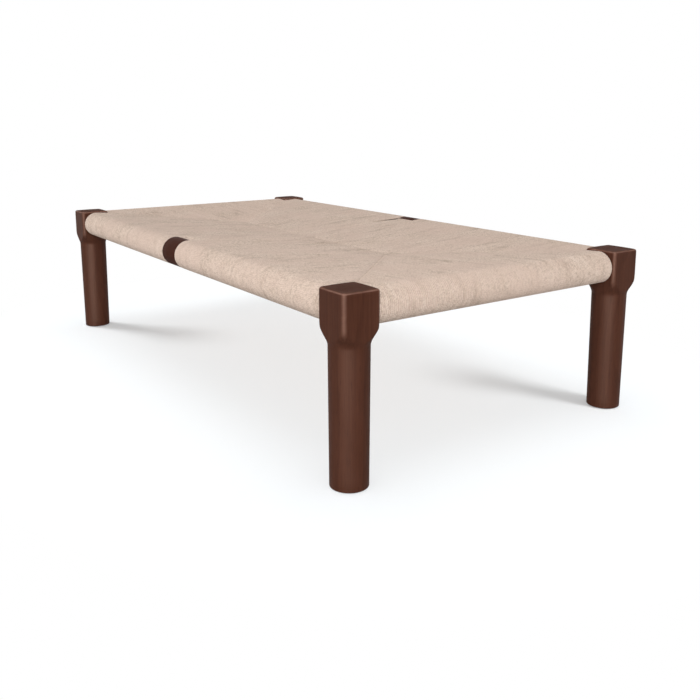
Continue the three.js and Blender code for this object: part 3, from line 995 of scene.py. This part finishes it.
def weaveLongHalf(name, hand, turn, axis, side, bandHere, bandThere):
    # hand is 1 for the half on the rail's own +X side
    draw = Random(weave["seed"] + len(name) + hand)
    field = newField()
    edge = weave["cordAcross"] / 2 + weave["bandGap"]
    first = hand * bandHere + weave["bandHalf"] + edge
    last = weave["longAxis"] - weave["blockHalf"] - weave["blockGap"] - weave["cordAcross"] / 2
    count = round((last - first) / weave["pitch"])
    sway = swayFrom(*partings[side])
    for strand in range(count + 1):
        place = first + (last - first) * strand / count
        if hand < 0 and strand < behindBand["crossings"]:
            layCord(field, crossingRoute(-place, strand, bandHere), draw.random())
            continue
        reach = min(weave["longAxis"] - place + draw.random() * weave["seamStray"], weave["crossAxis"])
        dives = place > weave["overStretcher"]
        place, proud = strayed(draw, place, strand, count)
        if hand > 0 and strand < len(behindBand["proud"]):
            proud = behindBand["proud"][strand]
        layCord(field, strandRoute(hand * place, reach, dives, sway, proud), draw.random())
    layFillers(field, hand, bandHere, bandThere, draw)
    finishField(name, field, turn, axis, longSideCord)


def weaveEnd(name, turn, axis):
    draw = Random(weave["seed"] + len(name) * 3)
    field = newField()
    last = weave["crossAxis"] - weave["blockHalf"] - weave["blockGap"] - weave["cordAcross"] / 2
    count = round(2 * last / weave["pitch"])
    for strand in range(count + 1):
        place = -last + 2 * last * strand / count
        reach = weave["crossAxis"] - abs(place) + draw.random() * weave["seamStray"]
        place, proud = strayed(draw, place, strand, count)
        layCord(field, strandRoute(place, reach, True, swayFrom(), proud), draw.random())
    finishField(name, field, turn, axis, endCord)


frontBand, backBand = railShape["frontBand"], -railShape["backBand"]
frontAxis, backAxis = (0, -weave["crossAxis"]), (0, weave["crossAxis"])
weaveLongHalf("cord_front_right", 1, 0, frontAxis, "front", frontBand, backBand)
weaveLongHalf("cord_front_left", -1, 0, frontAxis, "front", frontBand, backBand)
weaveLongHalf("cord_back_left", 1, pi, backAxis, "back", backBand, frontBand)
weaveLongHalf("cord_back_right", -1, pi, backAxis, "back", backBand, frontBand)
weaveEnd("cord_right", pi / 2, (weave["longAxis"], 0))
weaveEnd("cord_left", -pi / 2, (-weave["longAxis"], 0))


# parts that keep their own shape

for name, part in nodes.items():
    kind = name.split("_")[0]
    finish = {"glide": darkNylon, "tack": tackSteel, "stretcher": beechWood, "rail": endRailWood}.get(kind)
    if finish and not part.hide_render:
        part.data.materials.clear()
        part.data.materials.append(finish)
print("small parts finished")


# floor and light

studio = {
    "floor": 0.54,           # the floor's colour as the table sees it
    "floorSeen": (0.925, 0.958, 0.978),  # and as the camera does
    "fill": 0.32,
    # (name, from azimuth, elevation, strength, width), in degrees; azimuth 0 is +X, 90 is +Y
    "suns": (
        ("keyLight", -38, 27, 1.60, 26),
        ("leftLight", -112, 25, 0.64, 26),
        ("rightLight", 22, 6, 0.40, 26),
        ("backLight", 125, 18, 1.00, 30),
    ),
    # these show only as highlights
    "glints": (
        ("legGlint", -36, 8, 13.0, 16),
        ("sideGlint", -62, 8, 9.0, 16),
        ("rimGlint", -40, 74, 7.5, 30),
    ),
    # this lights only the floor, and leaves the pool of shade under the table
    "poolLight": ("poolLight", 0, 90, 0.45, 42),
    # and so do these, each for the shade of one foot: (..., the piece that shades it)
    "footLights": (
        ("leftFootLight", -148, 45, 1.41, 20, "leg_left_front_turned"),
        ("rightFootLight", 20, 45, 1.41, 20, "leg_right_back_turned"),
    ),
    "softbox": {"place": (1.65, -1.20, 1.30), "aim": (0.45, -0.25, 0.35), "power": 6.9, "size": 0.6},
    "floorHalf": 60,
    "sunsAt": 4,             # m from the middle of the floor
    # further off than this the floor is the white backdrop: half sizes of an oval, and where it fades
    "floorOval": (1.25, 0.95), "floorFade": (0.78, 1.05),
}

floorShape = bmesh.new()
bmesh.ops.create_grid(floorShape, x_segments=1, y_segments=1, size=studio["floorHalf"])
floorMesh = bpy.data.meshes.new("floor")
floorShape.to_mesh(floorMesh)
floorShape.free()
floor = bpy.data.objects.new("floor", floorMesh)
bpy.context.scene.collection.objects.link(floor)
floorPaint, floorBoard = newMaterial("paleFloor")
toCamera = floorBoard.add("ShaderNodeLightPath").outputs["Is Camera Ray"]
shade = floorBoard.mix(toCamera, colour(*[studio["floor"]] * 3), colour(*studio["floorSeen"]))
diffuse = floorBoard.add("ShaderNodeBsdfDiffuse", {"Color": shade})
floorPlace = floorBoard.add("ShaderNodeTexCoord").outputs["Object"]
ovalScale = (1 / studio["floorOval"][0], 1 / studio["floorOval"][1], 0)
farOff = floorBoard.length(floorBoard.stretched(floorPlace, ovalScale))
faded = floorBoard.times(toCamera, floorBoard.spread(farOff, *studio["floorFade"]))
backdrop = floorBoard.add("ShaderNodeEmission", {"Color": colour(1, 1, 1), "Strength": 1.0})
floorMix = floorBoard.add("ShaderNodeMixShader", {0: faded, 1: diffuse.outputs[0], 2: backdrop.outputs[0]})
floorBoard.add("ShaderNodeOutputMaterial", {0: floorMix.outputs[0]})
floorMesh.materials.append(floorPaint)

world = bpy.data.worlds.new("studio")
bpy.context.scene.world = world
world.use_nodes = True
world.node_tree.nodes.clear()
air = Board(world.node_tree)
path = air.add("ShaderNodeLightPath")
mirrored = air.math("MAXIMUM", path.outputs["Is Glossy Ray"], path.outputs["Is Transmission Ray"])
seen = air.math("MAXIMUM", path.outputs["Is Camera Ray"], mirrored)
background = air.add("ShaderNodeBackground", {
    "Color": colour(1, 1, 1), "Strength": air.spread(seen, 0.0, 1.0, studio["fill"], 1.0),
})
air.add("ShaderNodeOutputWorld", {0: background.outputs[0]})


def hangSun(name, azimuth, elevation, strength, width):
    lamp = bpy.data.lights.new(name, "SUN")
    lamp.energy = strength
    lamp.angle = radians(width)
    holder = bpy.data.objects.new(name, lamp)
    turn, rise = radians(azimuth), radians(elevation)
    place = Vector((cos(rise) * cos(turn), cos(rise) * sin(turn), sin(rise)))
    holder.location = place * studio["sunsAt"]
    holder.rotation_euler = (-place).to_track_quat("-Z", "Y").to_euler()
    bpy.context.scene.collection.objects.link(holder)
    return holder


allButFloor = bpy.data.collections.new("allButFloor")
allButFloor.objects.link(floor)
allButFloor.collection_objects[0].light_linking.link_state = "EXCLUDE"
onlyFloor = bpy.data.collections.new("onlyFloor")
onlyFloor.objects.link(floor)
onlyLegs = bpy.data.collections.new("onlyLegs")
for piece in bpy.context.scene.objects:
    if piece.name.startswith("leg_") and piece.name.endswith("_turned"):
        onlyLegs.objects.link(piece)

for sun in studio["suns"]:
    holder = hangSun(*sun)
    holder.light_linking.receiver_collection = allButFloor
    holder.visible_glossy = sun[0] != "backLight"  # no glare over the top
for sun in studio["glints"]:
    holder = hangSun(*sun)
    holder.light_linking.receiver_collection = onlyLegs
    holder.visible_diffuse = False
hangSun(*studio["poolLight"]).light_linking.receiver_collection = onlyFloor


def hangSoftbox(place, aim, power, size):
    lamp = bpy.data.lights.new("softbox", "AREA")
    lamp.shape = "DISK"
    lamp.energy = power
    lamp.size = size
    holder = bpy.data.objects.new("softbox", lamp)
    holder.location = place
    holder.rotation_euler = (Vector(aim) - Vector(place)).to_track_quat("-Z", "Y").to_euler()
    holder.visible_camera = False
    bpy.context.scene.collection.objects.link(holder)
    return holder


hangSoftbox(**studio["softbox"]).light_linking.receiver_collection = allButFloor
for *sun, shading in studio["footLights"]:
    holder = hangSun(*sun)
    caster = bpy.data.collections.new(sun[0] + "Caster")
    caster.objects.link(bpy.data.objects[shading])
    holder.light_linking.receiver_collection = onlyFloor
    holder.light_linking.blocker_collection = caster

bpy.context.scene.view_settings.view_transform = "Standard"
print("studio lit")
